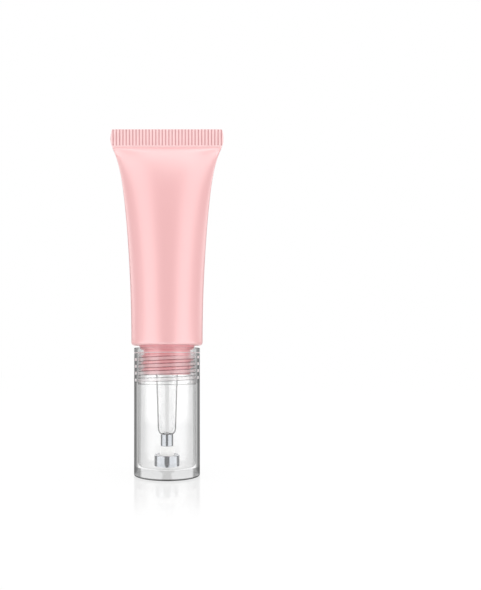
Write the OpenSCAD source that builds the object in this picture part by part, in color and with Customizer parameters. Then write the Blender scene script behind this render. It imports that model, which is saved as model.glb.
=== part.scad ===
// Lip gloss squeeze tube standing on its screw cap. A soft sleeve with a crimped end is moulded onto a
// threaded head, the head carries a clear brush applicator, and the applicator hangs in a thick clear cap.
// Millimetres, +Z up along the tube, +X along the crimp, origin at the centre of the cap's base.

/* [Sleeve] */
// Outer diameter of the sleeve's round end
tube_d = 19; // [18.9:0.1:19.6]
// Thickness of the sleeve's soft wall
sleeve_wall = 0.5; // [0.4:0.05:0.5]
// Length from the shoulder to the root of the crimp
sleeve_l = 52.8; // [45:0.5:65]
// Radius of the rounded shoulder edge
shoulder_r = 1.1; // [0.8:0.1:1.1]
// Gap between the cap's rim and the shoulder when the cap is closed
rim_gap = 0.6; // [0.5:0.1:0.8]

/* [Crimp] */
// Height of the heat-sealed crimp
crimp_h = 5; // [4:0.5:7]
// Thickness of the crimp over its ribs
crimp_t = 0.9; // [0.8:0.05:1]
// Height of the plain band under the ribs
band_h = 0.8; // [0.6:0.1:1.2]
// Number of pressed ribs across the crimp
ribs = 35; // [25:1:45]
// Depth of the grooves between the ribs
rib_depth = 0.14; // [0.08:0.02:0.18]

/* [Head] */
// Thickness of the shoulder disc inside the sleeve
disc_t = 1.5; // [1.2:0.1:2]
// Length of the threaded neck below the shoulder
neck_l = 7.7; // [7.2:0.1:8]
// Radius of the neck between its threads
neck_r = 6.2; // [6:0.05:6.2]
// Radius over the neck's thread
neck_thread_r = 7; // [6.9:0.05:7.05]
// Height of the cone that joins the neck to the shoulder
boss_h = 1.1; // [0.8:0.1:1.3]
// Radius of the opening that the applicator turns in
neck_bore_r = 3.05; // [3.02:0.01:3.1]

/* [Thread] */
// Distance from one turn to the next
pitch = 1.8; // [1.8:0.05:2]
// Width of a ridge at its root
ridge_root_w = 0.9; // [0.7:0.05:0.9]
// Width of a ridge at its crest
ridge_crest_w = 0.35; // [0.3:0.05:0.45]
// Turns of the ridge on the neck
neck_turns = 2.5; // [2:0.25:2.5]
// Turns of the ridge in the cap's collar
collar_turns = 3.75; // [3:0.25:3.75]

/* [Applicator] */
// Radius of the applicator where it leaves the neck
nozzle_top_r = 2.92; // [2.85:0.01:2.95]
// Radius of the applicator above its rounded end
nozzle_low_r = 2.47; // [2.3:0.01:2.6]
// Wall thickness of the applicator
nozzle_wall = 0.72; // [0.6:0.02:0.8]
// Radius of the metal ferrule
ferrule_r = 1.66; // [1.6:0.02:1.8]
// Length of the ferrule
ferrule_l = 3.2; // [2.8:0.1:3.6]
// Thickness of the ferrule's metal
ferrule_wall = 0.2; // [0.15:0.01:0.25]
// Length of the bristles below the ferrule
tuft_l = 4.7; // [4.5:0.1:5]
// Largest radius of the bristles
tuft_r = 2; // [1.8:0.05:2.02]

/* [Cap] */
// Height of the cap
cap_h = 34; // [33:0.5:36]
// Outer diameter of the cap
cap_d = 17.6; // [17.4:0.1:17.8]
// Thickness of the cap's clear wall
cap_wall = 1.05; // [0.95:0.05:1.15]
// Thickness of the cap's clear base
base_t = 2.5; // [2.3:0.1:2.8]
// Height of the threaded collar glued into the cap
collar_h = 8.5; // [8.2:0.1:8.7]
// Distance from the collar's upper face to the cap's rim
collar_inset = 1.2; // [1:0.1:1.3]
// Radius of the metal keeper cup on the cap's floor
keeper_r = 3.35; // [3.3:0.05:3.6]
// Height of the keeper cup
keeper_h = 3; // [2.8:0.1:3.2]
// Thickness of the keeper cup's wall
keeper_wall = 0.45; // [0.3:0.05:0.45]
// Radius of the hole in the keeper's soft liner
liner_bore_r = 2.15; // [2.12:0.01:2.2]

/* [Hidden] */
$fn = 96;

pink = [0.96, 0.74, 0.75];
clear = [0.86, 0.9, 0.92, 0.35];
chrome = [0.78, 0.8, 0.82];
white = [0.95, 0.94, 0.92];

tube_r = tube_d / 2;
fit = 0.03;                                  // gap of a snug, glued or welded fit
slip = 0.05;                                 // gap of a fit that turns
shoulder_z = cap_h + rim_gap;
crimp_z = shoulder_z + sleeve_l;
crimp_half_w = PI * tube_d / 4;              // a flattened tube is half its circumference wide
neck_z = shoulder_z - neck_l;
disc_z = shoulder_z + sleeve_wall;
disc_r = tube_r - sleeve_wall - 0.05;
lip_r = tube_r - shoulder_r - 0.1;           // hole in the sleeve's turned-in lower edge
cap_r = cap_d / 2;
chamber_r = cap_r - cap_wall;
collar_z = cap_h - collar_inset - collar_h;
collar_bore_r = chamber_r - 0.4;
collar_crest_r = neck_thread_r - 0.6;
collar_thread_z = collar_z + ridge_root_w / 2 + 0.15;
neck_thread_z = neck_z + ridge_root_w / 2 + 0.3;
thread_start = 90;                           // angle at which the collar's ridge starts
keeper_base = 0.4;
tip_z = base_t + keeper_base + 0.2;
ferrule_z = tip_z + tuft_l;
spigot_z = ferrule_z + 1.5;
nozzle_z = ferrule_z + ferrule_l;
nozzle_end_h = 1.9;                          // height of the applicator's rounded end
neck_lip_t = 1.2;                            // lip of the neck that holds the applicator's flange
flange_z = neck_z + neck_lip_t + slip;
flange_h = 1.25;
feed_r = 0.6;
root_r = ferrule_r - ferrule_wall - 0.01;    // bristles and spigot fill the ferrule
ring_n = 48;                                 // points round each ring of the sleeve
levels = 20;                                 // rings along the sleeve

// Points along an arc about [cx, cz], in the plane of a turned profile
function arc(cx, cz, r, from, to, steps = 8) =
    [for (i = [0:steps]) let (a = from + (to - from) * i / steps) [cx + r * cos(a), cz + r * sin(a)]];

function sgn_pow(v, e) = sign(v) * pow(abs(v), e);

// The sleeve's section goes from round at t = 0 to a flat stadium at t = 1, where the crimp begins
function half_width(t) = tube_r + (crimp_half_w - 0.33 - tube_r) * (0.69 * pow(t, 2) + 0.31 * pow(t, 12));
function half_depth(t) = crimp_t / 2 + (tube_r - crimp_t / 2) * pow(1 - pow(t, 3.2), 0.6);
function squareness(t) = 2 + 6 * pow(t, 60);
function level_t(i) = 1 - pow(1 - i / levels, 1.6);
function level_z(t) = shoulder_z + shoulder_r + (sleeve_l - shoulder_r) * t;

function ring(a, b, z, n = 2) =
    [for (i = [0:ring_n - 1]) let (u = 360 * i / ring_n)
        [a * sgn_pow(cos(u), 2 / n), b * sgn_pow(sin(u), 2 / n), z]];

// Ring of the sleeve's outer surface at t, moved inwards by inset
function sleeve_ring(t, inset = 0) =
    ring(half_width(t) - inset, half_depth(t) - inset, level_z(t), squareness(t));

// Closed solid through a list of rings, with the first and last ring filled in
module skin(rings) {
    last = len(rings) - 1;
    n = len(rings[0]);
    sides = [for (k = [0:last - 1], i = [0:n - 1]) let (j = (i + 1) % n)
        each [[k * n + i, (k + 1) * n + i, (k + 1) * n + j], [k * n + i, (k + 1) * n + j, k * n + j]]];
    first_cap = [[for (i = [0:n - 1]) i]];
    last_cap = [[for (i = [n - 1:-1:0]) last * n + i]];
    polyhedron(points = [for (r = rings) each r], faces = concat(first_cap, sides, last_cap));
}

// Right-hand helical ridge that starts at height z and angle start; its ends fade into the root
module helical_ridge(root_r, crest_r, z, turns, start) {
    steps = round(turns * 36);
    fade = 8;
    side = sign(crest_r - root_r);           // the ridge's foot is buried in the wall it stands on
    function rise(i) = max(0.02, min(1, i / fade, (steps - i) / fade));
    skin([for (i = [0:steps]) let (a = start + i * 10, h = z + pitch * i / 36,
            c = root_r + (crest_r - root_r) * rise(i),
            w = side * (ridge_root_w - (ridge_root_w - ridge_crest_w) * rise(i)) / 2,
            foot = root_r - 0.3 * side, f = side * ridge_root_w / 2)
        [for (p = [[foot, h - f], [foot, h + f], [c, h + w], [c, h - w]])
            [p[0] * cos(a), p[0] * sin(a), p[1]]]]);
}

// Thick clear cap: plain barrel with a heavy base and a straight bore, rounded at the floor and the foot
module cap_shell() {
    foot = 0.4;
    corner = 1;
    rim = 0.25;
    color(clear) rotate_extrude() polygon(concat(
        [[0, 0]],
        arc(cap_r - foot, foot, foot, -90, 0, 4),
        [[cap_r, cap_h - rim], [cap_r - rim, cap_h], [chamber_r, cap_h]],
        arc(chamber_r - corner, base_t + corner, corner, 0, -90, 6),
        [[0, base_t]]));
}

// Clear ring with the cap's inside thread, glued into the bore
module cap_thread_collar() {
    outer_r = chamber_r - fit;
    bevel = 0.25;
    color(clear) union() {
        rotate_extrude() polygon([[collar_bore_r, collar_z], [outer_r, collar_z],
            [outer_r, collar_z + collar_h], [collar_bore_r + bevel, collar_z + collar_h],
            [collar_bore_r, collar_z + collar_h - bevel]]);
        helical_ridge(collar_bore_r, collar_crest_r, collar_thread_z, collar_turns, thread_start);
    }
}

// Metal cup on the cap's floor that the brush stands in
module keeper_cup() {
    lip = 0.1;
    inner_r = keeper_r - keeper_wall;
    color(chrome) translate([0, 0, base_t]) rotate_extrude() polygon([[0, 0], [keeper_r, 0],
        [keeper_r, keeper_h - lip], [keeper_r - lip, keeper_h], [inner_r + lip, keeper_h],
        [inner_r, keeper_h - lip], [inner_r, keeper_base], [0, keeper_base]]);
}

// Soft ring pressed into the keeper cup, which closes round the bristles
module keeper_liner() {
    low = base_t + keeper_base + fit;
    high = base_t + keeper_h - 0.1;
    lead_in = 0.2;
    outer_r = keeper_r - keeper_wall - fit;
    color(white) rotate_extrude() polygon([[liner_bore_r, low], [outer_r, low], [outer_r, high],
        [liner_bore_r + lead_in, high], [liner_bore_r, high - lead_in]]);
}

// Clear tapered applicator: flange held behind the neck's lip, journal, hollow cone and spigot
module nozzle() {
    journal_r = neck_bore_r - slip;
    flange_r = journal_r + 1.2;
    bore_top_r = journal_r - nozzle_wall - 0.08;
    bore_low_r = nozzle_low_r - nozzle_wall;
    end_z = nozzle_z + nozzle_end_h;
    shrink = nozzle_low_r - ferrule_r;
    taper_in = [for (i = [0:7]) let (a = 90 * i / 8)
        [ferrule_r + shrink * cos(a), end_z - nozzle_end_h * sin(a)]];
    bore_in = [for (i = [8:-1:0]) let (a = 90 * i / 8)
        [feed_r + 0.02 + (bore_low_r - feed_r - 0.02) * cos(a), end_z - (nozzle_end_h - 0.5) * sin(a)]];
    color(clear) rotate_extrude() polygon(concat(
        [[bore_top_r, flange_z + flange_h], [flange_r, flange_z + flange_h], [flange_r, flange_z],
            [journal_r, flange_z], [journal_r, neck_z - 0.1], [nozzle_top_r, neck_z - 0.3]],
        taper_in,
        [[ferrule_r, nozzle_z], [root_r, nozzle_z], [root_r, spigot_z], [feed_r + 0.02, spigot_z]],
        bore_in));
}

// Fine tube that carries the gloss through the spigot into the middle of the bristles
module feed_tube() {
    length = nozzle_z + 0.4 - (tip_z + 3.4);
    color(white) translate([0, 0, tip_z + 3.4]) difference() {
        cylinder(h = length, r = feed_r);
        translate([0, 0, -1]) cylinder(h = length + 2, r = 0.35);
    }
}

// Metal band crimped over the spigot and the root of the bristles
module ferrule() {
    bead = 0.08;
    color(chrome) translate([0, 0, ferrule_z]) rotate_extrude() polygon([
        [ferrule_r - ferrule_wall, 0], [ferrule_r - bead, 0], [ferrule_r, bead],
        [ferrule_r, ferrule_l - bead - fit], [ferrule_r - bead, ferrule_l - fit],
        [ferrule_r - ferrule_wall, ferrule_l - fit]]);
}

// Bristles as one closed shape: bound root, spread belly and rounded tip, hollow round the feed tube
module brush_tuft() {
    hole_r = feed_r + 0.02;
    belly_z = tip_z + 2.3;
    flare_h = ferrule_z - belly_z;
    flare = [for (i = [1:6]) let (a = 90 * i / 6)
        [root_r + (tuft_r - root_r) * sin(a), ferrule_z - flare_h * (1 - cos(a))]];
    tip = [for (i = [1:8]) let (a = 90 * i / 8) [tuft_r * cos(a), belly_z - (belly_z - tip_z) * sin(a)]];
    color(white) rotate_extrude() polygon(concat(
        [[hole_r, spigot_z - fit], [root_r, spigot_z - fit], [root_r, ferrule_z]],
        flare, tip,
        [[0, tip_z + 3.35], [hole_r, tip_z + 3.35]]));
}

// Soft sleeve: thin wall, lower edge turned in under the head's disc, upper end pressed into a crimp
module tube_sleeve() {
    last_open = levels - 1;
    inside = [for (i = [last_open:-1:0]) sleeve_ring(level_t(i), sleeve_wall)];
    lip = [ring(tube_r - sleeve_wall, tube_r - sleeve_wall, disc_z), ring(lip_r, lip_r, disc_z),
        ring(lip_r, lip_r, shoulder_z)];
    shoulder = [for (p = arc(tube_r - shoulder_r, shoulder_z + shoulder_r, shoulder_r, -90, 0, 5))
        ring(p[0], p[0], p[1])];
    outside = [for (i = [1:levels]) sleeve_ring(level_t(i))];
    color(pink) union() {
        skin(concat(inside, lip, shoulder, outside));
        crimp();
    }
}

// Flat sealed end: a plain band, then ribs pressed into both faces, with slightly bowed sides
module crimp() {
    overlap = 0.4;
    tuck = 0.6;                              // keeps the buried foot of the crimp inside the sleeve
    rib_w = 2 * (crimp_half_w + 0.4) / ribs;
    steps = 12;
    edge = [for (i = [0:steps]) let (s = i / steps)
        [crimp_half_w - 0.33 + 0.15 * s + 0.55 * sin(180 * s), crimp_h * s]];
    half = [for (i = [0:ribs - 1], q = [[0, 1], [0.15, 1], [0.35, 0], [0.8, 0]])
        [-crimp_half_w - 0.4 + rib_w * (i + q[0]), crimp_t / 2 - rib_depth * q[1]]];
    translate([0, 0, crimp_z]) intersection() {
        rotate([90, 0, 0]) linear_extrude(height = 2, center = true) polygon(concat(
            [[edge[0][0] - tuck, -overlap]], edge, [for (i = [steps:-1:0]) [-edge[i][0], edge[i][1]]],
            [[tuck - edge[0][0], -overlap]]));
        union() {
            translate([-crimp_half_w - 1, -crimp_t / 2, -overlap])
                cube([2 * crimp_half_w + 2, crimp_t, band_h + overlap]);
            linear_extrude(height = crimp_h) polygon(concat(half,
                [for (i = [len(half) - 1:-1:0]) [half[i][0], -half[i][1]]]));
        }
    }
}

// Moulded head: shoulder disc welded into the sleeve, conical boss, and the threaded neck
module tube_head() {
    cavity_r = neck_bore_r + 1.25;
    bead_z = flange_z + flange_h + 0.1;
    edge = 0.2;
    color(pink) union() {
        rotate_extrude() polygon([[neck_bore_r, neck_z], [neck_r - edge, neck_z], [neck_r, neck_z + edge],
            [neck_r, shoulder_z - boss_h], [neck_r + 0.6, shoulder_z - boss_h], [neck_r + 1.2, shoulder_z],
            [lip_r - fit, shoulder_z], [lip_r - fit, disc_z + 0.01], [disc_r, disc_z + 0.01],
            [disc_r, disc_z + disc_t], [cavity_r, disc_z + disc_t], [cavity_r, bead_z + 0.5],
            [cavity_r - 0.2, bead_z + 0.3], [cavity_r - 0.2, bead_z + 0.1], [cavity_r, bead_z],
            [cavity_r, neck_z + neck_lip_t], [neck_bore_r, neck_z + neck_lip_t]]);
        helical_ridge(neck_r, neck_thread_r, neck_thread_z, neck_turns, thread_phase());
    }
}

// Angle at which the neck's ridge starts, so that it runs midway between the collar's turns
function thread_phase() = thread_start + 180 + 360 * (neck_thread_z - collar_thread_z) / pitch;

// The gloss itself, which fills the sleeve and the head down to the applicator
module gloss_fill() {
    stem_r = neck_bore_r + 1;
    gap = sleeve_wall + 0.06;
    low_z = disc_z + disc_t + fit;
    body_levels = [for (i = [1:levels - 2]) if (level_z(level_t(i)) > low_z + 0.5) level_t(i)];
    color([0.93, 0.55, 0.6]) skin(concat(
        [ring(stem_r, stem_r, flange_z + flange_h + 0.5), ring(stem_r, stem_r, low_z),
            ring(tube_r - gap, tube_r - gap, low_z)],
        [for (t = body_levels) sleeve_ring(t, gap)]));
}

cap_shell();
cap_thread_collar();
keeper_cup();
keeper_liner();
nozzle();
feed_tube();
ferrule();
brush_tuft();
tube_sleeve();
tube_head();
gloss_fill();
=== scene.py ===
"""Lip gloss squeeze tube that stands on its clear screw cap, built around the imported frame."""

import math
import random

import bpy
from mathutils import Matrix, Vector


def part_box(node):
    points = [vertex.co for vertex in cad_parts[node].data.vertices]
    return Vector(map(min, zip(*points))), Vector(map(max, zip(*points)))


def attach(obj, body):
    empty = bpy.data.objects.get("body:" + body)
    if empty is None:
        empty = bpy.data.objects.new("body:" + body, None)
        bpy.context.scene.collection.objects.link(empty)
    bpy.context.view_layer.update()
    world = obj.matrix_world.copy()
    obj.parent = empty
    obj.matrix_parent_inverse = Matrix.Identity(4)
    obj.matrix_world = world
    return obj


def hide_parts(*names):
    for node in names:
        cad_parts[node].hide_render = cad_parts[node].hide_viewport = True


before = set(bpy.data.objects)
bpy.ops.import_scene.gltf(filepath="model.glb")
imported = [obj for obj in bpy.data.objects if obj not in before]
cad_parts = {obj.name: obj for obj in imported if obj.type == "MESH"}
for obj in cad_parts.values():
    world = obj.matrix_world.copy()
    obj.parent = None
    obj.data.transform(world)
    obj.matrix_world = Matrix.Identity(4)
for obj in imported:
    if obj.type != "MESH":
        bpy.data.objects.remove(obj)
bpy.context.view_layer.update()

MM = 0.001
TURN = 2 * math.pi


# --- Studio -------------------------------------------------------------------------------------
# A white room with a glossy white floor and one soft box overhead. Mirror-like surfaces also see light
# and dark bands in the room, strips laid round the foot and a dark card behind the sleeve. These draw
# the stripes of bright metal and the darker edges of clear plastic and of the sleeve.

class Wire:
    """An output socket that takes part in sums: each operator adds one Math node."""

    def __init__(self, finish, socket):
        self.finish = finish
        self.socket = socket

    def maths(self, operation, first, second=0.0):
        return self.finish.node("ShaderNodeMath", {"operation": operation}, {0: first, 1: second})

    def __add__(self, other):
        return self.maths("ADD", self, other)

    def __sub__(self, other):
        return self.maths("SUBTRACT", self, other)

    def __rsub__(self, other):
        return self.maths("SUBTRACT", other, self)

    def __mul__(self, other):
        return self.maths("MULTIPLY", self, other)

    def __pow__(self, other):
        return self.maths("POWER", self, other)

    __radd__ = __add__
    __rmul__ = __mul__

    def least(self, other):
        return self.maths("MINIMUM", self, other)

    def size(self):
        return self.maths("ABSOLUTE", self)

    def ramp(self, low, high, start=0.0, end=1.0):
        """Goes smoothly from start at low to end at high."""
        settings = {"interpolation_type": "SMOOTHSTEP"}
        limits = {"From Min": low, "From Max": high, "To Min": start, "To Max": end}
        return self.finish.node("ShaderNodeMapRange", settings, {"Value": self, **limits})

    def fall(self, low, high):
        """Goes smoothly from 1 at low to 0 at high."""
        return self.ramp(low, high, 1.0, 0.0)

    def band(self, start, full, fading, end):
        """Rises from 0 at start to 1 at full, and falls from 1 at fading to 0 at end."""
        return self.ramp(start, full) * self.fall(fading, end)


class Finish:
    """A node tree under construction, for a material or for the room."""

    def __init__(self, tree, output):
        self.tree = tree
        tree.nodes.clear()
        self.output = tree.nodes.new(output)

    def node(self, kind, settings=None, sockets=None, output=0):
        made = self.tree.nodes.new(kind)
        for key, value in (settings or {}).items():
            setattr(made, key, value)
        for key, value in (sockets or {}).items():
            if isinstance(value, Wire):
                self.tree.links.new(value.socket, made.inputs[key])
            else:
                made.inputs[key].default_value = value
        return Wire(self, made.outputs[output])

    def mix(self, share, first, second):
        """Blends two colours."""
        return self.node("ShaderNodeMix", {"data_type": "RGBA"}, {0: share, 6: first, 7: second}, 2)

    def blend(self, share, first, second):
        """Blends two shaders."""
        return self.node("ShaderNodeMixShader", None, {0: share, 1: first, 2: second})

    def place(self):
        """Position on the object, in metres."""
        return self.node("ShaderNodeTexCoord", None, None, "Object")

    def axes(self, vector):
        return [self.node("ShaderNodeSeparateXYZ", None, {0: vector}, axis) for axis in "XYZ"]

    def height(self):
        """Height on the object, in metres."""
        return self.axes(self.place())[2]

    def radius(self):
        """Distance from the object's upright axis, in metres."""
        x, y = self.axes(self.place())[:2]
        return (x * x + y * y) ** 0.5

    def angle_from_back(self, vector):
        """Angle round the upright axis between a direction and the back, in degrees from 0 to 180."""
        x, y = self.axes(vector)[:2]
        return self.node("ShaderNodeMath", {"operation": "ARCTAN2"}, {0: x.size(), 1: y}) * (180 / math.pi)

    def upright(self):
        """1 on upright faces and 0 on level ones."""
        return 1 - self.axes(self.node("ShaderNodeTexCoord", None, None, "Normal"))[2].size() ** 8

    def facing(self):
        """0 where the surface faces the eye and 1 where it turns away."""
        return self.node("ShaderNodeLayerWeight", None, {"Blend": 0.5}, "Facing")

    def noise(self, scale, detail=2.0, stretch=(1.0, 1.0, 1.0)):
        """Noise with features of about 1 / scale metres, drawn out along the axes by stretch."""
        spot = self.node("ShaderNodeVectorMath", {"operation": "MULTIPLY"},
                         {0: self.place(), 1: [1.0 / s for s in stretch]})
        return self.node("ShaderNodeTexNoise", None, {"Vector": spot, "Scale": scale, "Detail": detail})

    def near_side(self):
        """1 on a face seen from outside, 0 on a face seen through the plastic from within."""
        return 1 - self.node("ShaderNodeNewGeometry", None, None, "Backfacing")

    def milky(self):
        """White light scattered by the plastic, from in front and from behind."""
        front = self.node("ShaderNodeBsdfDiffuse", None, {"Color": (0.98, 0.98, 0.98, 1)})
        behind = self.node("ShaderNodeBsdfTranslucent", None, {"Color": (0.98, 0.98, 0.98, 1)})
        return self.blend(0.5, front, behind)

    def clear(self, tint):
        """A surface that lets this share of the light straight through."""
        return self.node("ShaderNodeBsdfTransparent", None, {"Color": (tint, tint, tint, 1)})

    def glow(self, strength, colour=(1, 1, 1, 1)):
        return self.node("ShaderNodeEmission", None, {"Color": colour, "Strength": strength})

    def bump(self, height, depth):
        return self.node("ShaderNodeBump", None, {"Height": height, "Distance": depth, "Strength": 1.0})

    def surface(self, shader):
        self.tree.links.new(shader.socket, self.output.inputs["Surface"])


def new_finish(name):
    material = bpy.data.materials.new(name)
    material.use_nodes = True
    return material, Finish(material.node_tree, "ShaderNodeOutputMaterial")


def put(name, data):
    """Puts a new object made from this mesh, light or camera in the scene."""
    made = bpy.data.objects.new(name, data)
    bpy.context.scene.collection.objects.link(made)
    return made


eye_height = 29.2 * MM
eye_distance = 155 * MM
camera = put("studio_camera", bpy.data.cameras.new("studio_camera"))
camera.location = (0, -eye_distance, eye_height)
camera.rotation_euler = (math.radians(90), 0, 0)
camera.data.sensor_width = 36
camera.data.lens = 35.34
camera.data.shift_x = 0.1246
camera.data.shift_y = 0.12
camera.data.clip_start = 0.005
bpy.context.scene.camera = camera
bpy.context.scene.view_settings.view_transform = "Standard"
for bounces in ("max_bounces", "transmission_bounces", "transparent_max_bounces"):
    setattr(bpy.context.scene.cycles, bounces, 32)


def light_room():
    """A white room. What mirrors it sees bands that change with the angle from the tube's back: the white
    sweep, a rim light, a dark side, a tall soft box, and the dark round the camera."""
    world = bpy.data.worlds.new("room")
    bpy.context.scene.world = world
    world.use_nodes = True
    room = Finish(world.node_tree, "ShaderNodeOutputWorld")
    direction = room.node("ShaderNodeTexCoord", None, None, "Generated")
    z = room.axes(direction)[2]
    angle = room.angle_from_back(direction)
    up = z.ramp(0.0, 0.045)
    above = z.ramp(0.4, 0.95)
    sweep = angle.fall(28.0, 38.0)
    rim_light = angle.band(16.0, 28.0, 44.0, 66.0)
    side_boxes = angle.band(98.0, 112.0, 142.0, 158.0)
    dark_low, dark_up, rim_power, box_power, top_power = 0.3, 0.25, 1.1, 1.35, 0.1
    level = (dark_low + dark_up * up + (1 - dark_low - dark_up * up) * sweep
             + rim_power * up * rim_light + box_power * side_boxes + top_power * above)
    mirrored = room.node("ShaderNodeLightPath", None, None, "Is Glossy Ray")
    strength = 1 - mirrored * (1 - level)
    room.surface(room.node("ShaderNodeBackground", None, {"Color": (1, 1, 1, 1), "Strength": strength}))


light_room()


def sheet(name, corners, material):
    mesh = bpy.data.meshes.new(name)
    mesh.from_pydata(corners, [], [(0, 1, 2, 3)])
    mesh.materials.append(material)
    made = put(name, mesh)
    return made


def flat(half, z):
    return [(-half, -half, z), (half, -half, z), (half, half, z), (-half, half, z)]


def show_to_mirrors_only(card):
    for kind in ("camera", "diffuse", "transmission", "volume_scatter", "shadow"):
        setattr(card, "visible_" + kind, False)


def lay_cards():
    """Cards and light strips laid round the foot, just over the floor. Only mirror-like surfaces see
    them, and only from above, so the bright metal gets tall light bands between dark ones."""
    material, card = new_finish("card_light")
    angle = card.angle_from_back(card.place())
    at_foot = card.radius().fall(19 * MM, 23 * MM)
    wider_at_foot = 11.0
    strip = angle.ramp(78.0, 88.0) * (angle - wider_at_foot * at_foot).fall(154.0, 162.0)
    behind = angle.fall(14.0, 24.0)
    far = card.radius().ramp(140 * MM, 180 * MM)
    lit_strip = card.blend(far, card.glow(1.65, (0.97, 0.985, 1, 1)), card.glow(3.0))
    from_above = card.blend(behind, card.blend(strip, card.glow(0.4), lit_strip), card.glow(1.0))
    card.surface(card.blend(card.near_side(), card.clear(1.0), from_above))
    show_to_mirrors_only(sheet("floor_cards", flat(1.5, -0.01 * MM), material))


lay_cards()


def soft_box(name, place, target, width, height, power):
    light = put(name, bpy.data.lights.new(name, "AREA"))
    light.data.shape = "RECTANGLE"
    light.data.size = width
    light.data.size_y = height
    light.data.energy = power
    light.location = place
    light.rotation_euler = (Vector(target) - Vector(place)).to_track_quat("-Z", "Y").to_euler()


soft_box("overhead_box", (0.05, -0.12, 0.5), (0, 0, 0.06), 0.3, 0.3, 0.25)


def stand_dark_card():
    """A dark card close behind the sleeve, which only mirror-like surfaces see. Where the sleeve turns
    away it mirrors the card, and that draws a thin darker outline round it. Steep light passes through
    the card, so the floor doesn't mirror it."""
    half_w, foot, top, behind = 50 * MM, 36 * MM, 130 * MM, 60 * MM
    material, card = new_finish("card_dark")
    upward = card.node("ShaderNodeCombineXYZ", None, {"Z": 1.0})
    level = card.node("ShaderNodeLayerWeight", None, {"Blend": 0.5, "Normal": upward}, "Facing")
    card.surface(card.blend(level.ramp(0.58, 0.63), card.clear(1.0), card.glow(0.05, (1, 0.7, 0.7, 1))))
    corners = [(-half_w, behind, foot), (half_w, behind, foot),
               (half_w, behind, top), (-half_w, behind, top)]
    show_to_mirrors_only(sheet("dark_card", corners, material))


stand_dark_card()


def make_floor():
    """White glossy paper, which mirrors only what stands close to the foot."""
    material, paper = new_finish("floor_gloss")
    matt = paper.node("ShaderNodeBsdfDiffuse", None, {"Color": (0.12, 0.12, 0.12, 1)})
    lit = paper.node("ShaderNodeAddShader", None, {0: matt, 1: paper.glow(0.88)})
    shine = paper.node("ShaderNodeBsdfGlossy", None, {"Color": (1, 1, 1, 1), "Roughness": 0.08})
    near_foot = paper.radius().fall(24 * MM, 47 * MM)
    mirror_share = 0.2
    paper.surface(paper.blend(mirror_share * near_foot, lit, shine))
    sheet("floor", flat(1.6, -0.02 * MM), material)


make_floor()


# --- Cap barrel ---------------------------------------------------------------------------------
# Thick clear plastic, injection moulded and polished: a straight barrel with a heavy base, a wide
# bore that ends in a rounded floor, a softened foot and a bevelled rim.

def smooth_step(value, low, high):
    share = min(1.0, max(0.0, (value - low) / (high - low)))
    return share * share * (3 - 2 * share)


def arc(centre, radius, start, end, steps):
    """Points on an arc, as (radius, height) pairs in millimetres; angles in degrees."""
    angles = [math.radians(start + (end - start) * i / steps) for i in range(steps + 1)]
    return [(centre[0] + radius * math.cos(a), centre[1] + radius * math.sin(a)) for a in angles]


def add_mesh(name, points, faces, crease=35):
    """A smooth-shaded object from points in millimetres, with its sharp edges kept."""
    mesh = bpy.data.meshes.new(name)
    mesh.from_pydata([(x * MM, y * MM, z * MM) for x, y, z in points], [], faces)
    mesh.validate()
    mesh.shade_smooth()
    mesh.set_sharp_from_angle(angle=math.radians(crease))
    return put(name, mesh)


def held(section):
    """Adds a point close to each end of every long straight run, which keeps the shading true along it."""
    long_run, close = 0.4, 0.03
    points = []
    for (r0, z0), (r1, z1) in zip(section, section[1:] + section[:1]):
        points.append((r0, z0))
        run = math.hypot(r1 - r0, z1 - z0)
        if run > long_run and (r0 or r1):
            for share in (close / run, 1 - close / run):
                points.append((r0 + (r1 - r0) * share, z0 + (z1 - z0) * share))
    return points


def turned(name, outline, segments=160, crease=35):
    """A turned solid. outline(angle) gives its closed section, anticlockwise, as (radius, height) pairs;
    a section that starts and ends on the axis is closed there by a pole."""
    sections = [outline(TURN * k / segments) for k in range(segments)]
    section = sections[0]
    count = len(section)
    poles = {i for i, (r, z) in enumerate(section) if r == 0}
    points, index = [], {}
    for k, ring in enumerate(sections):
        angle = TURN * k / segments
        for i, (r, z) in enumerate(ring):
            if i in poles and k:
                index[k, i] = index[0, i]
                continue
            index[k, i] = len(points)
            points.append((r * math.cos(angle), r * math.sin(angle), z))
    faces = []
    for k in range(segments):
        n = (k + 1) % segments
        for i in range(count):
            j = (i + 1) % count
            corners = [index[k, i], index[n, i], index[n, j], index[k, j]]
            corners = list(dict.fromkeys(corners))
            if len(corners) > 2:
                faces.append(corners)
    return add_mesh(name, points, faces, crease)


def finish_piece(piece, material, body, slot, *nodes):
    piece.data.materials.append(material)
    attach(piece, body)
    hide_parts(*nodes)
    return piece


def tinted(plastic, tint, steps, where=1.0):
    """See-through plastic whose tint deepens in steps where the surface turns away: painted shade that
    darkens the edges of the clear plastic. A step is where it starts, where it is complete, and its tint."""
    through = plastic.clear(tint)
    facing = plastic.facing()
    for start, complete, deeper in steps:
        through = plastic.blend(facing.ramp(start, complete) * where, through, plastic.clear(deeper))
    return through


def polished(plastic, through, mirror=0.04, where=1.0):
    """Adds the polish: a clean reflection, stronger where the surface turns away, with faint flow marks."""
    flow_marks = plastic.noise(220, 2, (1, 1, 6))
    shine = plastic.node("ShaderNodeBsdfGlossy", None, {"Roughness": 0.02 + 0.05 * flow_marks})
    plastic.surface(plastic.blend(mirror + 0.7 * plastic.facing() ** 6 * where, through, shine))


def clear_plastic(name, tint, steps, mirror=0.04):
    material, plastic = new_finish(name)
    polished(plastic, tinted(plastic, tint, steps), mirror)
    return material


def paint_inside(piece, material):
    """Gives a second material to the faces that look towards the axis."""
    piece.data.materials.append(material)
    for face in piece.data.polygons:
        outward = face.normal.x * face.center.x + face.normal.y * face.center.y
        if outward < -0.2 * math.hypot(face.center.x, face.center.y):
            face.material_index = 1


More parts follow.
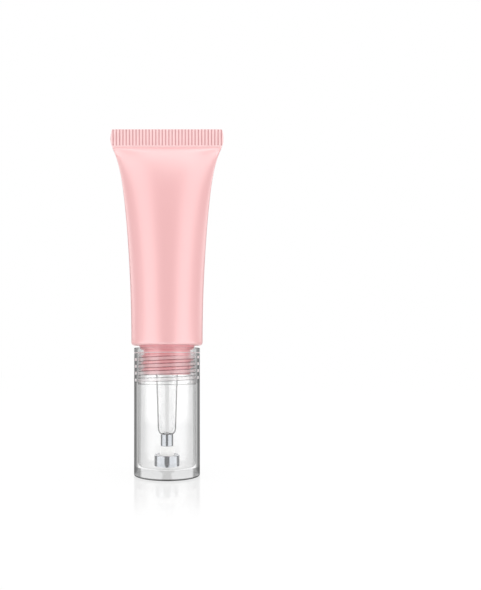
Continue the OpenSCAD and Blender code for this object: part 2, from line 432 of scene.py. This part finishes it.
def off_thread(plastic, z, start_z, start_angle):
    """Distance in height from the middle of the nearest turn of a thread's ridge."""
    x, y = plastic.axes(plastic.place())[:2]
    turn = plastic.node("ShaderNodeMath", {"operation": "ARCTAN2"}, {0: y, 1: x})
    climb = z - turn * (pitch * MM / TURN) + (pitch * start_angle / TURN - start_z) * MM
    return climb.maths("PINGPONG", climb, pitch * MM / 2)


pitch = 1.8
ridge_root_w = 0.9
ridge_crest_w = 0.35
thread_start = TURN / 4
collar_low, collar_high = (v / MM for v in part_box("cap_thread_collar"))
collar_thread_z = collar_low.z + ridge_root_w / 2 + 0.15
shell_low, shell_high = (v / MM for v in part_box("cap_shell"))
cap_r = (shell_high.x - shell_low.x) / 2
cap_h = shell_high.z
cap_wall = 1.05
base_t = 2.5
foot_round = 0.4
rim_round = 0.25
bore_edge = 0.15
floor_round = 1.0
chamber_r = cap_r - cap_wall
cap_outline = [
    (0, 0),
    *arc((cap_r - foot_round, foot_round), foot_round, -90, 0, 6),
    *arc((cap_r - rim_round, cap_h - rim_round), rim_round, 0, 90, 5),
    *arc((chamber_r + bore_edge, cap_h - bore_edge), bore_edge, 90, 180, 4),
    *arc((chamber_r - floor_round, base_t + floor_round), floor_round, 0, -90, 10),
    (0, base_t)]
cap_shell = turned("cap_barrel", lambda angle: held(cap_outline))


def along_thread(z):
    """1 over the collar's threaded height, and 0 at its two plain ends."""
    return z.band((collar_low.z + 0.7) * MM, (collar_low.z + 0.9) * MM,
                  (collar_high.z - 1.1) * MM, (collar_high.z - 0.9) * MM)


def cap_outside_finish():
    """The barrel's outer face: clear at the front, with painted shade that greys its sides, deepens the
    heavy base, greys the bore's floor seen through it, darkens the wall at the collar's height and draws a
    dark line on the foot's rounding. Painted glints of milky white mark the thread at the sides and the
    collar's top edge."""
    material, plastic = new_finish("cap_clear")
    z = plastic.height()
    upright = plastic.upright()
    near = plastic.near_side()
    facing = plastic.facing()
    # Painted shade greys the sides as they turn away.
    wall = tinted(plastic, 0.99, ((0.49, 0.55, 0.72), (0.6, 0.64, 0.44)), upright)
    # Painted shade: a grey tint on the bore's floor, seen through the base.
    painted_floor_shade = (1 - upright) * z.ramp((base_t - 1) * MM, (base_t - 0.1) * MM)
    wall = plastic.blend(painted_floor_shade, wall, plastic.clear(0.88))
    # Painted shade: the heavy base is tinted darker, most of all at its sides.
    base = z.fall((base_t + 0.15) * MM, (base_t + 0.35) * MM) * upright * near
    side = facing.ramp(0.34, 0.44)
    wall = plastic.blend(base * (1 - side), wall, plastic.clear(0.7))
    wall = plastic.blend(base * side, wall, plastic.clear(0.34))
    # Painted shade: a dark band on the wall's sides at the collar's height.
    painted_collar_shade = facing.ramp(0.5, 0.56) * z.ramp((collar_low.z + 0.3) * MM, (collar_low.z + 0.5) * MM)
    wall = plastic.blend(0.55 * painted_collar_shade * near, wall, plastic.clear(0.3))
    # Painted glints: milky white spots where the thread's ridges reach the sides, and along the collar's
    # top edge.
    off_ridge = off_thread(plastic, z, collar_thread_z, thread_start)
    ridges = off_ridge.fall(0.3 * MM, 0.42 * MM) * along_thread(z)
    top_edge = z.band((collar_high.z - 0.32) * MM, (collar_high.z - 0.24) * MM,
                      (collar_high.z - 0.06) * MM, collar_high.z * MM)
    glints = ridges * facing.band(0.59, 0.64, 0.72, 0.8) + 0.8 * top_edge * facing.ramp(0.5, 0.56)
    wall = plastic.blend(0.95 * glints * near, wall, plastic.milky())
    # Painted shade: a dark line on the foot's rounding.
    foot = (z.fall(0.36 * MM, 0.6 * MM) * near
            * plastic.radius().ramp((cap_r - 0.42) * MM, (cap_r - 0.3) * MM))
    wall = plastic.blend(foot, wall, plastic.clear(0.1))
    polished(plastic, wall, 0.04 + 0.14 * base * (1 - foot) * (1 - side), upright * (1 - foot))
    return material


def cap_bore_finish():
    """The bore: painted shade deepens its sides as they turn away, and a painted dark line marks where the
    floor's rounding ends.
    """
    material, plastic = new_finish("cap_bore_clear")
    upright = plastic.upright()
    wall = tinted(plastic, 0.97, ((0.12, 0.42, 0.87), (0.545, 0.6, 0.77)), upright)
    floor_edge = chamber_r - floor_round
    edge_line = plastic.radius().band((floor_edge - 0.25) * MM, (floor_edge - 0.1) * MM,
                                      (floor_edge + 0.15) * MM, (floor_edge + 0.35) * MM)
    # Painted shade: a dark line where the floor's rounding ends.
    wall = plastic.blend(edge_line, wall, plastic.clear(0.7))
    polished(plastic, wall, 0.03, upright)
    return material


finish_piece(cap_shell, cap_outside_finish(), "cap", "cap_clear", "cap_shell")
paint_inside(cap_shell, cap_bore_finish())


# --- Thread collar ------------------------------------------------------------------------------
# A clear ring with the cap's inside thread, moulded on an unscrewing core and glued into the bore.
# Its single right-hand ridge rounds off into the wall at both ends.

def ridge(angle, z, start_z, start_angle, turns):
    """Share of a helical ridge's full height at a point of the wall, from 0 to 1."""
    lead = pitch * (angle - start_angle) / TURN
    off = (z - start_z - lead + pitch / 2) % pitch - pitch / 2
    centre_z = z - off
    rise = smooth_step(centre_z - start_z, -0.1, 0.35)
    fall = 1 - smooth_step(centre_z - start_z, pitch * turns - 0.35, pitch * turns + 0.1)
    flank = (ridge_root_w / 2 - abs(off)) / ((ridge_root_w - ridge_crest_w) / 2)
    return smooth_step(flank, 0, 1) * rise * fall


collar_r = (collar_high.x - collar_low.x) / 2
collar_bore_r = chamber_r - 0.4
collar_crest_r = 6.4
collar_turns = 3.75


def collar_outline(angle):
    rows = 110
    span = collar_high.z - collar_low.z
    inside = []
    for i in range(rows + 1):
        z = collar_high.z - span * i / rows
        rise = ridge(angle, z, collar_thread_z, thread_start, collar_turns)
        inside.append((collar_bore_r - (collar_bore_r - collar_crest_r) * rise, z))
    return [(collar_r, collar_low.z), (collar_r, collar_high.z), *inside]


collar = turned("thread_collar", collar_outline, 216, 50)


def collar_outside_finish():
    """The collar's outer face, painted with how the thread inside it shows: each ridge is a milky band of
    painted light between two lines of painted shade, the two ends of the collar are a bright painted line
    and a dark one, and a milky veil of painted light whitens its sides."""
    material, plastic = new_finish("collar_clear")
    z = plastic.height()
    near = plastic.near_side()
    off_ridge = off_thread(plastic, z, collar_thread_z, thread_start)
    threaded = along_thread(z)
    half_ridge = ridge_root_w / 2 * MM
    # Painted light and shade that show the thread: a milky band on each ridge, a dark line beside it, a
    # bright line at the top end, a dark one at the low end and a milky veil at the sides.
    band = off_ridge.fall(half_ridge * 0.75, half_ridge * 0.95) * threaded
    line = off_ridge.band(half_ridge * 0.8, half_ridge, half_ridge * 1.15, half_ridge * 1.4) * threaded
    top_end = z.ramp((collar_high.z - 0.3) * MM, (collar_high.z - 0.22) * MM)
    low_end = z.fall((collar_low.z + 0.2) * MM, (collar_low.z + 0.3) * MM)
    wall = tinted(plastic, 0.995, ((0.5, 0.9, 0.8),))
    sides = 0.3 * plastic.facing().ramp(0.2, 0.5)
    wall = plastic.blend((near * (0.38 * band + 0.8 * top_end + sides)).least(1.0), wall, plastic.milky())
    wall = plastic.blend(near * (line + 0.6 * low_end), wall, plastic.clear(0.3))
    polished(plastic, wall)
    return material


finish_piece(collar, collar_outside_finish(), "cap", "collar_clear", "cap_thread_collar")
paint_inside(collar, clear_plastic("collar_bore_clear", 0.995, ((0.7, 1.0, 0.97),), 0.0))


# --- Keeper cup and liner -----------------------------------------------------------------------
# A small cup drawn from bright metal and glued to the cap's floor, with a rolled lip. A soft
# off-white ring is pressed into it and closes round the bristles.

def bright_metal(name, colour, mark_scale, stretch):
    """Polished metal with faint drawing marks and a few slightly duller patches."""
    material, metal = new_finish(name)
    patches = metal.noise(500, 3)
    marks = metal.noise(mark_scale, 4, stretch)
    metal.surface(metal.node("ShaderNodeBsdfPrincipled", None, {
        "Base Color": metal.mix(patches, (*colour, 1), (*[c * 0.93 for c in colour], 1)),
        "Metallic": 1.0, "Roughness": 0.05 + 0.06 * patches,
        "Normal": metal.bump(marks, 0.0002 * MM)}))
    return material


cup_low, cup_high = (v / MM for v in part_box("keeper_cup"))
cup_r = (cup_high.x - cup_low.x) / 2
cup_wall = 0.45
cup_base = 0.4
cup_corner = 0.12
cup_lip = 0.2
cup_lip_inside = 0.15
cup_inner_r = cup_r - cup_wall
cup_outline = [
    (0, cup_low.z),
    *arc((cup_r - cup_corner, cup_low.z + cup_corner), cup_corner, -90, 0, 4),
    *arc((cup_r - cup_lip, cup_high.z - cup_lip), cup_lip, 0, 90, 6),
    *arc((cup_inner_r + cup_lip_inside, cup_high.z - cup_lip_inside), cup_lip_inside, 90, 180, 5),
    (cup_inner_r, cup_low.z + cup_base),
    (0, cup_low.z + cup_base)]
chrome = (0.55, 0.56, 0.58)
keeper_metal = bright_metal("keeper_metal", chrome, 900, (1, 1, 0.1))
finish_piece(turned("keeper_cup_drawn", lambda angle: held(cup_outline), 96), keeper_metal,
             "cap", "bright_metal", "keeper_cup")

liner_low, liner_high = (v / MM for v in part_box("keeper_liner"))
liner_r = (liner_high.x - liner_low.x) / 2
liner_bore_r = 2.15
liner_bevel = 0.05
liner_round = 0.25
liner_outline = [
    (liner_bore_r, liner_low.z), (liner_r, liner_low.z), (liner_r, liner_high.z - liner_bevel),
    (liner_r - liner_bevel, liner_high.z),
    *arc((liner_bore_r + liner_round, liner_high.z - liner_round), liner_round, 90, 180, 5)]


def soft_plastic(name, colour, shade, roughness, grain_depth):
    """Soft matt plastic with a fine moulded grain and a faint mottle."""
    material, plastic = new_finish(name)
    mottle = plastic.noise(300, 3)
    grain = plastic.noise(6000, 2)
    plastic.surface(plastic.node("ShaderNodeBsdfPrincipled", None, {
        "Base Color": plastic.mix(mottle, (*colour, 1), (*shade, 1)),
        "Roughness": roughness + 0.1 * mottle,
        "Normal": plastic.bump(grain, grain_depth)}))
    return material


liner_soft = soft_plastic("liner_soft", (0.74, 0.75, 0.76), (0.68, 0.69, 0.7), 0.55, 0.01 * MM)
finish_piece(turned("keeper_liner_ring", lambda angle: liner_outline, 96), liner_soft,
             "cap", "liner_plastic", "keeper_liner")


# --- Applicator body ----------------------------------------------------------------------------
# A clear hollow cone moulded in one piece. Its flange snaps behind the neck's lip, its journal turns
# in the neck, and its rounded end narrows to a spigot that the ferrule is crimped on.

nozzle_low, nozzle_high = (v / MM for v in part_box("nozzle"))
ferrule_low, ferrule_high = (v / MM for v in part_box("ferrule"))
neck_low, neck_high = (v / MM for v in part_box("tube_head"))
flange_r = (nozzle_high.x - nozzle_low.x) / 2
flange_t = 1.25
journal_r = flange_r - 1.2
nozzle_top_r = 2.92
nozzle_low_r = 2.47
nozzle_bore_top_r = 2.2
nozzle_bore_low_r = 1.75
nozzle_end_h = 1.9
ferrule_r = (ferrule_high.x - ferrule_low.x) / 2
spigot_r = ferrule_r - 0.21
feed_bore_r = 0.62
nozzle_z = ferrule_high.z + 0.03
end_z = nozzle_z + nozzle_end_h
flange_z = nozzle_high.z - flange_t


def quarter(r_start, r_end, z_start, z_end, steps):
    """A quarter of an ellipse that leaves r_start straight down and reaches r_end at z_end."""
    angles = [TURN / 4 * i / steps for i in range(steps + 1)]
    return [(r_end + (r_start - r_end) * math.cos(a), z_start + (z_end - z_start) * math.sin(a))
            for a in angles]


nozzle_bore = quarter(nozzle_bore_low_r, feed_bore_r, end_z, end_z - nozzle_end_h + 0.5, 10)
nozzle_outline = [
    (nozzle_bore_top_r, nozzle_high.z), *nozzle_bore,
    (feed_bore_r, nozzle_low.z), (spigot_r, nozzle_low.z), (spigot_r, nozzle_z),
    *reversed(quarter(nozzle_low_r, ferrule_r, end_z, nozzle_z, 12)),
    (nozzle_top_r, neck_low.z - 0.3), (journal_r, neck_low.z - 0.1), (journal_r, flange_z),
    (flange_r, flange_z), (flange_r, nozzle_high.z)]
nozzle_clear = clear_plastic("nozzle_clear", 0.985, ((0.44, 0.6, 0.52),), 0.07)
nozzle_bore_clear = clear_plastic("nozzle_bore_clear", 0.99, ((0.6, 0.9, 0.93),), 0.02)
nozzle = turned("applicator_cone", lambda angle: held(nozzle_outline), 120)
finish_piece(nozzle, nozzle_clear, "applicator", "nozzle_clear", "nozzle")
paint_inside(nozzle, nozzle_bore_clear)


# --- Feed tube and ferrule ----------------------------------------------------------------------
# The feed tube is a cut length of fine white tubing in the spigot's bore. The ferrule is a short
# band of bright metal, slid over the spigot with the bristles' root inside and crimped.

feed_low, feed_high = (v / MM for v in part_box("feed_tube"))
feed_r = (feed_high.x - feed_low.x) / 2
feed_bore = 0.35
feed_outline = [
    (feed_bore, feed_low.z), (feed_r, feed_low.z), (feed_r, feed_high.z), (feed_bore, feed_high.z)]
feed_white = soft_plastic("feed_white", (0.85, 0.85, 0.85), (0.8, 0.8, 0.8), 0.35, 0.004 * MM)
finish_piece(turned("feed_tube_cut", lambda angle: feed_outline, 40), feed_white,
             "applicator", "feed_plastic", "feed_tube")

ferrule_wall = 0.2
ferrule_round = 0.1
ferrule_outline = [
    (ferrule_r - ferrule_wall, ferrule_low.z),
    *arc((ferrule_r - ferrule_round, ferrule_low.z + ferrule_round), ferrule_round, -90, 0, 4),
    *arc((ferrule_r - ferrule_round, ferrule_high.z - ferrule_round), ferrule_round, 0, 90, 4),
    (ferrule_r - ferrule_wall, ferrule_high.z)]
ferrule_metal = bright_metal("ferrule_metal", chrome, 1200, (1, 1, 0.08))
finish_piece(turned("ferrule_band", lambda angle: held(ferrule_outline), 72), ferrule_metal,
             "applicator", "bright_metal", "ferrule")


# --- Bristles -----------------------------------------------------------------------------------
# Several hundred tapered off-white filaments, bound in the ferrule. They spread as soon as they
# leave it, run down the keeper's liner, and close to a rounded tip.

tuft_low, tuft_high = (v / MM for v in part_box("brush_tuft"))
tuft_r = (tuft_high.x - tuft_low.x) / 2
root_r = ferrule_r - ferrule_wall - 0.03
belly_z = tuft_low.z + 2.3


def tuft_radius(z):
    """Outer radius of the whole tuft at a height below the ferrule."""
    if z >= ferrule_low.z:
        return root_r
    if z >= belly_z:
        down = (ferrule_low.z - z) / (ferrule_low.z - belly_z)
        return root_r + (tuft_r - root_r) * math.sqrt(1 - (1 - down) ** 2)
    down = (belly_z - z) / (belly_z - tuft_low.z)
    return tuft_r * math.sqrt(max(0.0, 1 - down ** 2))


def make_bristles():
    hair_r = 0.055
    rows, sides = 9, 5
    layers = 13
    rng = random.Random(7)
    points, faces = [], []
    for layer in range(layers):
        share = (layer + 0.5) / layers
        count = max(1, round(TURN * share * (tuft_r - hair_r) / (2.1 * hair_r)))
        for h in range(count):
            angle = TURN * (h + rng.uniform(-0.3, 0.3)) / count
            reach = min(0.985, max(0.02, share + rng.uniform(-0.3, 0.3) / layers))
            tip = belly_z - (belly_z - tuft_low.z) * math.sqrt(1 - reach ** 2) * rng.uniform(0.93, 1.0)
            first = len(points)
            for row in range(rows + 1):
                z = tuft_high.z - 0.1 + (tip - tuft_high.z + 0.1) * row / rows
                clear_of = (feed_r + hair_r) * smooth_step(z, feed_low.z - 0.8, feed_low.z)
                r = clear_of + reach * (tuft_radius(max(z, belly_z)) - hair_r - clear_of)
                thick = hair_r * (1 if row < rows - 1 else 0.75 if row < rows else 0.3)
                for s in range(sides):
                    a = TURN * s / sides
                    points.append((r * math.cos(angle) + thick * math.cos(a),
                                   r * math.sin(angle) + thick * math.sin(a), z))
            for row in range(rows):
                for s in range(sides):
                    n = (s + 1) % sides
                    low, high = first + row * sides, first + (row + 1) * sides
                    faces.append((low + s, high + s, high + n, low + n))
            faces.append([first + s for s in range(sides)])
            faces.append([first + rows * sides + s for s in reversed(range(sides))])
    return add_mesh("bristles", points, faces, 60)


def bristle_finish():
    """Nylon filament: off-white, a little deeper towards the root, with a soft sheen. A faint glow
    stands for the light that the filaments pass on to each other."""
    material, hair = new_finish("bristle_nylon")
    towards_root = hair.height().ramp(tuft_low.z * MM, tuft_high.z * MM)
    hair.surface(hair.node("ShaderNodeBsdfPrincipled", None, {
        "Base Color": hair.mix(towards_root, (0.99, 0.988, 0.98, 1), (0.96, 0.957, 0.945, 1)),
        "Roughness": 0.35 + 0.1 * hair.noise(2500), "Sheen Weight": 0.8,
        "Emission Color": (1, 1, 1, 1), "Emission Strength": 0.14}))
    return material


finish_piece(make_bristles(), bristle_finish(), "applicator", "bristle", "brush_tuft")


# --- Sleeve and crimp ---------------------------------------------------------------------------
# Soft polyethylene tube, extruded, moulded onto the head, filled and then flattened and heat-sealed
# at the far end. The sealing jaws press a row of fine upright ribs into both faces of the crimp.

sleeve_low, sleeve_high = (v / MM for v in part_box("tube_sleeve"))
tube_r = (sleeve_high.y - sleeve_low.y) / 2
sleeve_wall = 0.5
shoulder_z = sleeve_low.z
shoulder_r = 0.8
lip_r = tube_r - shoulder_r - 0.1
crimp_h = 5.0
crimp_t = 0.9
band_h = 0.55
ribs = 35
rib_depth = 0.14
crimp_z = sleeve_high.z - crimp_h
crimp_half_w = math.pi * tube_r / 2
root_half_w = crimp_half_w - 0.33
ribbed_half_w = crimp_half_w + 0.4
rib_w = 2 * ribbed_half_w / ribs
rib_shift = 0.075


def flat_ring(half_w, half_d, z, squareness=2.0, groove=0.0, around=720):
    """One ring of the sleeve. Its points are spread so that the crimp's ribs get enough of them."""
    ring = []
    for i in range(around):
        turn = 4 * i / around
        quarter_turn = turn if turn <= 2 else 4 - turn
        x = 0.5 * math.cos(TURN / 4 * quarter_turn) + 0.5 * (1 - quarter_turn)
        y = max(0.0, 1 - abs(x) ** squareness) ** (1 / squareness)
        depth = half_d * y
        if groove:
            phase = (half_w * x + ribbed_half_w - rib_shift * rib_w) / rib_w % 1
            cut = 1 - smooth_step(min(phase, 1 - phase), 0.1, 0.3)
            depth = max(0.02, depth - groove * cut)
        ring.append((half_w * x, depth if turn <= 2 else -depth, z))
    return ring


def sleeve_ring(t, inset=0.0):
    """The section goes from round at t = 0 to a flat stadium at t = 1, where the crimp begins."""
    half_w = tube_r + (root_half_w - tube_r) * (0.69 * t ** 2 + 0.31 * t ** 12)
    half_d = crimp_t / 2 + (tube_r - crimp_t / 2) * (1 - t ** 3.2) ** 0.6
    z = shoulder_z + shoulder_r + (crimp_z - shoulder_z - shoulder_r) * t
    return flat_ring(half_w - inset, half_d - inset, z, 2 + 6 * t ** 60)


def crimp_ring(height, groove, thickness=crimp_t):
    s = height / crimp_h
    half_w = root_half_w + 0.13 * s + 0.49 * math.sin(math.pi * s)
    return flat_ring(half_w, thickness / 2, crimp_z + height, 8, groove)


def make_sleeve():
    levels = 64
    steps = [1 - (1 - i / levels) ** 1.7 for i in range(levels + 1)]
    inner_steps = [1 - (1 - i / 24) ** 1.7 for i in range(24)]
    rings = [sleeve_ring(t, sleeve_wall) for t in reversed(inner_steps)]
    rings += [flat_ring(r, r, shoulder_z + h) for r, h in
              ((tube_r - sleeve_wall, sleeve_wall), (lip_r, sleeve_wall), (lip_r, 0))]
    rings += [flat_ring(r, r, z) for r, z in
              arc((tube_r - shoulder_r, shoulder_z + shoulder_r), shoulder_r, -90, 0, 12)]
    rings += [sleeve_ring(t) for t in steps[1:]]
    rings += [crimp_ring(h, 0) for h in (0.15, 0.4, band_h - 0.06)]
    rings += [crimp_ring(h, rib_depth * share) for h, share in
              ((band_h + 0.04, 0.5), (band_h + 0.14, 1))]
    top_edge = 0.12
    ribbed = 10
    first = band_h + 0.3
    rings += [crimp_ring(first + (crimp_h - top_edge - first) * i / ribbed, rib_depth)
              for i in range(ribbed + 1)]
    rings += [crimp_ring(crimp_h - 0.03, rib_depth, crimp_t - 0.1),
              crimp_ring(crimp_h, rib_depth, crimp_t - 0.22)]
    around = len(rings[0])
    faces = []
    for k in range(len(rings) - 1):
        for i in range(around):
            j = (i + 1) % around
            faces.append((k * around + i, k * around + j, (k + 1) * around + j, (k + 1) * around + i))
    half = around // 2
    last = (len(rings) - 1) * around
    for i in range(half):
        near, far = (around - i) % around, (around - i - 1) % around
        top = list(dict.fromkeys((last + i, last + i + 1, last + far, last + near)))
        ceiling = list(dict.fromkeys((near, far, i + 1, i)))
        faces.append(top)
        faces.append(ceiling)
    return add_mesh("soft_sleeve", [p for ring in rings for p in ring], faces, 50)


def sleeve_finish():
    """Satin pink polyethylene: faint draw lines along the tube, a fine grain, a paler tone where the wall
    is squeezed between the sealing jaws, and painted light that makes the tone paler towards the crimp and
    at the sleeve's lower edge. The crimp's grooves are painted a deeper pink, as painted shade between the
    ribs."""
    material, skin = new_finish("sleeve_satin")
    x, z = skin.axes(skin.place())[0], skin.height()
    # Painted light: the tone grows paler over the last 14 mm below the crimp.
    painted_light_near_crimp = z.ramp((crimp_z - 14) * MM, crimp_z * MM)
    draw_lines = skin.noise(900, 3, (1, 1, 40))
    mottle = skin.noise(90, 3)
    # Paler tone: painted light towards the crimp, plus a random mottle.
    pale = (0.4 * painted_light_near_crimp + 0.12 * mottle).least(1.0)
    # Painted shade: the crimp's grooves between the ribs are painted a deeper pink.
    off_groove = x.maths("PINGPONG", x + (ribbed_half_w - rib_shift * rib_w) * MM, rib_w * MM / 2)
    painted_groove_shade = (off_groove.fall(0.14 * rib_w * MM, 0.32 * rib_w * MM)
               * z.ramp((crimp_z + band_h) * MM, (crimp_z + band_h + 0.15) * MM))
    wall_pink = skin.mix(pale, (0.88, 0.445, 0.45, 1), (0.94, 0.56, 0.565, 1))
    pressed = z.ramp((crimp_z - 0.2) * MM, (crimp_z + 0.3) * MM)
    wall_pink = skin.mix(pressed, wall_pink, (0.99, 0.66, 0.66, 1))
    # Painted light: a paler pink on the sleeve's lower edge, over its bottom rounding.
    painted_light_low_edge = z.ramp((sleeve_low.z + 0.1) * MM, (sleeve_low.z + 0.8) * MM, 0.6, 0.0)
    wall_pink = skin.mix(painted_light_low_edge, wall_pink, (0.99, 0.62, 0.62, 1))
    skin.surface(skin.node("ShaderNodeBsdfPrincipled", None, {
        "Base Color": skin.mix(painted_groove_shade, wall_pink, (0.62, 0.25, 0.26, 1)),
        "Roughness": 0.3 + 0.05 * mottle, "IOR": 1.7, "Specular IOR Level": 1.0,
        "Normal": skin.bump(draw_lines + 0.3 * skin.noise(5000, 2), 0.004 * MM)}))
    return material


finish_piece(make_sleeve(), sleeve_finish(), "tube", "sleeve_plastic", "tube_sleeve")


# --- Head ---------------------------------------------------------------------------------------
# Harder pink plastic, injection moulded: a shoulder disc welded inside the sleeve's lower edge, a
# short cone, and the neck with a single right-hand thread. The applicator's flange sits inside it.

neck_r = 6.3
neck_thread_r = 7.0
neck_turns = 2.5
boss_h = 1.1
neck_bore_r = journal_r + 0.05
cavity_r = neck_bore_r + 1.25
neck_thread_z = neck_low.z + ridge_root_w / 2 + 0.3
neck_start = thread_start + TURN / 2 + TURN * (neck_thread_z - collar_thread_z) / pitch
disc_z = shoulder_z + sleeve_wall
disc_r = (neck_high.x - neck_low.x) / 2


def head_outline(angle):
    rows = 90
    low, high = neck_low.z + 0.2, shoulder_z - boss_h
    outside = []
    for i in range(rows + 1):
        z = low + (high - low) * i / rows
        outside.append((neck_r + (neck_thread_r - neck_r) *
                        ridge(angle, z, neck_thread_z, neck_start, neck_turns), z))
    return [
        (neck_bore_r, neck_low.z), (neck_r - 0.2, neck_low.z), *outside,
        (neck_r + 0.6, high), (neck_r + 1.2, shoulder_z), (lip_r - 0.03, shoulder_z),
        (lip_r - 0.03, disc_z + 0.01), (disc_r, disc_z + 0.01), (disc_r, neck_high.z),
        (cavity_r, neck_high.z), (cavity_r, neck_low.z + 1.2), (neck_bore_r, neck_low.z + 1.2)]


def head_finish():
    """Moulded pink plastic, glossier than the sleeve, with faint flow lines round the neck."""
    material, plastic = new_finish("head_gloss")
    flow = plastic.noise(400, 3, (6, 6, 1))
    plastic.surface(plastic.node("ShaderNodeBsdfPrincipled", None, {
        "Base Color": plastic.mix(flow, (0.97, 0.42, 0.45, 1), (0.95, 0.46, 0.485, 1)),
        "Roughness": 0.22 + 0.06 * flow, "Coat Weight": 0.3, "Coat IOR": 1.6, "Coat Roughness": 0.15,
        "Normal": plastic.bump(flow, 0.003 * MM)}))
    return material


finish_piece(turned("threaded_head", head_outline, 216, 50), head_finish(),
             "tube", "head_plastic", "tube_head")


# --- Gloss --------------------------------------------------------------------------------------
# The gloss itself: a thick pink liquid that fills the sleeve. It shows only through the neck's
# opening, so its shape stays plain, with a wet surface and fine shimmer.

def gloss_finish():
    material, gloss = new_finish("wet_gloss")
    shimmer = gloss.node("ShaderNodeTexVoronoi", None, {"Vector": gloss.place(), "Scale": 2500.0})
    fleck = shimmer.fall(0.0, 0.25)
    gloss.surface(gloss.node("ShaderNodeBsdfPrincipled", None, {
        "Base Color": gloss.mix(fleck, (0.72, 0.22, 0.27, 1), (0.95, 0.6, 0.6, 1)),
        "Roughness": 0.12 + 0.2 * fleck}))
    return material


gloss_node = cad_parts["gloss_fill"]
gloss_node.data.materials.clear()
gloss_node.data.materials.append(gloss_finish())
